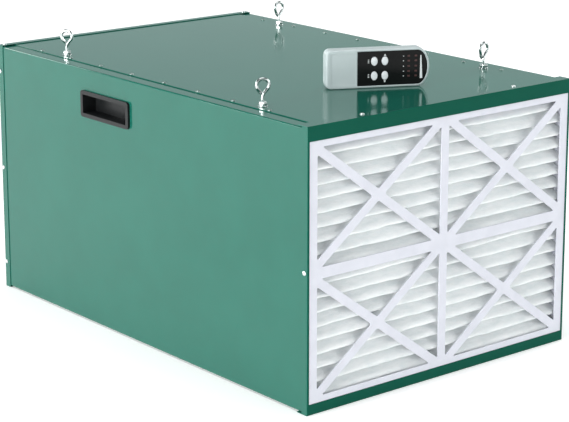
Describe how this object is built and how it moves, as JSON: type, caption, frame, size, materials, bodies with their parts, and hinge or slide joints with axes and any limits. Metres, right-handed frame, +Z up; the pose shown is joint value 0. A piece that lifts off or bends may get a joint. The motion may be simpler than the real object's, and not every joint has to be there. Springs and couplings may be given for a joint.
{
  "type": "hanging shop air cleaner",
  "caption": "Boxy sheet-metal workshop air cleaner with a pleated filter face, hanging eyes, recessed handles, a rear exhaust grille and a loose remote control.",
  "frame": {"origin": "middle of the overall box, on the surface that the cabinet rests on", "axes": "+Z up, -Y is the filter face, +Y the exhaust and controls, -X the left side with its handle"},
  "size_m": [0.5136, 0.788, 0.462],
  "materials": {
    "green_paint": "semi-gloss baked enamel",
    "black_paint": "satin",
    "zinc_plate": "bright zinc plate",
    "black_plastic": "moulded, satin",
    "gloss_black": "gloss film",
    "grey_plastic": "moulded, satin",
    "silver_plastic": "semi-gloss",
    "white_card": "coated white beverage board",
    "filter_media": "non-woven fibre, matte",
    "pocket_fabric": "non-woven fibre, matte",
    "galvanised_steel": "galvanised",
    "bright_steel": "ground",
    "core_steel": "varnished",
    "cast_aluminium": "as cast",
    "black_rubber": "matte",
    "circuit_board": "solder mask",
    "red_lens": "clear red",
    "dark_lens": "infrared-clear dark red",
    "battery_jacket": "printed film"
  },
  "bodies": {
    "case": {"side_panel_left": "green_paint", "side_panel_right": "green_paint", "top_panel": "green_paint", "bottom_panel": "green_paint", "front_frame": "green_paint", "rear_cover": "green_paint", "exhaust_grille": "black_paint", "rear_screws": "zinc_plate", "top_screws": "zinc_plate", "front_frame_screws": "zinc_plate", "cover_screws": "zinc_plate", "eye_bolts": "zinc_plate", "eye_bolt_nuts": "zinc_plate", "eye_bolt_washers": "zinc_plate", "eye_bolt_inner_nuts": "zinc_plate", "handle_left": "black_plastic", "handle_right": "black_plastic", "blower_scroll": "galvanised_steel", "blower_side_left": "galvanised_steel", "blower_side_right": "galvanised_steel", "blower_feet": "galvanised_steel", "blower_bolts": "zinc_plate", "motor_shell": "black_paint", "motor_end_bells": "cast_aluminium", "motor_bearings": "bright_steel", "motor_stator": "core_steel", "motor_bracket": "galvanised_steel", "motor_bushes": "black_rubber", "run_capacitor": "cast_aluminium", "capacitor_clamp": "galvanised_steel", "control_box": "galvanised_steel", "control_board": "circuit_board", "control_panel": "black_plastic", "indicator_lenses": "red_lens", "receiver_lens": "dark_lens", "cord_gland": "black_plastic", "wiring": "black_rubber"},
    "blower_rotor": {"blower_wheel": "galvanised_steel", "motor_shaft": "bright_steel", "motor_rotor": "bright_steel"},
    "pocket_filter": {"pocket_filter_frame": "galvanised_steel", "pocket_filter_pockets": "pocket_fabric"},
    "outer_filter": {"outer_filter_frame": "white_card", "outer_filter_media": "filter_media", "outer_filter_mesh": "galvanised_steel"},
    "power_push": {"power_button": "silver_plastic"},
    "speed_push": {"speed_button": "silver_plastic"},
    "timer_push": {"timer_button": "silver_plastic"},
    "remote": {"remote_front": "grey_plastic", "remote_back": "grey_plastic", "remote_panel": "gloss_black", "remote_board": "circuit_board", "remote_lens": "dark_lens", "remote_batteries": "battery_jacket"},
    "remote_push_power": {"remote_key_power": "silver_plastic"},
    "remote_push_timer": {"remote_key_timer": "silver_plastic"},
    "remote_push_faster": {"remote_key_faster": "silver_plastic"},
    "remote_push_slower": {"remote_key_slower": "silver_plastic"},
    "remote_door": {"remote_battery_door": "grey_plastic"}
  },
  "joints": [
    {"name": "blower_spin", "type": "hinge", "parent": "case", "child": "blower_rotor", "pos_m": [0, 0.152, 0.178], "axis": [-1, 0, 0], "continuous": true},
    {"name": "pocket_filter_slide", "type": "slide", "parent": "case", "child": "pocket_filter", "axis": [0, -1, 0], "range_m": [0, 0.33]},
    {"name": "outer_filter_slide", "type": "slide", "parent": "pocket_filter", "child": "outer_filter", "axis": [0, -1, 0], "range_m": [0, 0.06]},
    {"name": "power_press", "type": "slide", "parent": "case", "child": "power_push", "axis": [0, -1, 0], "range_m": [0, 0.001], "stiffness_N_per_m": 250},
    {"name": "speed_press", "type": "slide", "parent": "case", "child": "speed_push", "axis": [0, -1, 0], "range_m": [0, 0.001], "stiffness_N_per_m": 250},
    {"name": "timer_press", "type": "slide", "parent": "case", "child": "timer_push", "axis": [0, -1, 0], "range_m": [0, 0.001], "stiffness_N_per_m": 250},
    {"name": "remote_lift", "type": "slide", "parent": "case", "child": "remote", "axis": [0, 0, 1], "range_m": [0, 0.12]},
    {"name": "remote_power_press", "type": "slide", "parent": "remote", "child": "remote_push_power", "axis": [0.454, 0.891, 0], "range_m": [0, 0.0008], "stiffness_N_per_m": 250},
    {"name": "remote_timer_press", "type": "slide", "parent": "remote", "child": "remote_push_timer", "axis": [0.454, 0.891, 0], "range_m": [0, 0.0008], "stiffness_N_per_m": 250},
    {"name": "remote_faster_press", "type": "slide", "parent": "remote", "child": "remote_push_faster", "axis": [0.454, 0.891, 0], "range_m": [0, 0.0008], "stiffness_N_per_m": 250},
    {"name": "remote_slower_press", "type": "slide", "parent": "remote", "child": "remote_push_slower", "axis": [0.454, 0.891, 0], "range_m": [0, 0.0008], "stiffness_N_per_m": 250},
    {"name": "battery_door_slide", "type": "slide", "parent": "remote", "child": "remote_door", "axis": [-0.891, 0.454, 0], "range_m": [0, 0.062]}
  ]
}
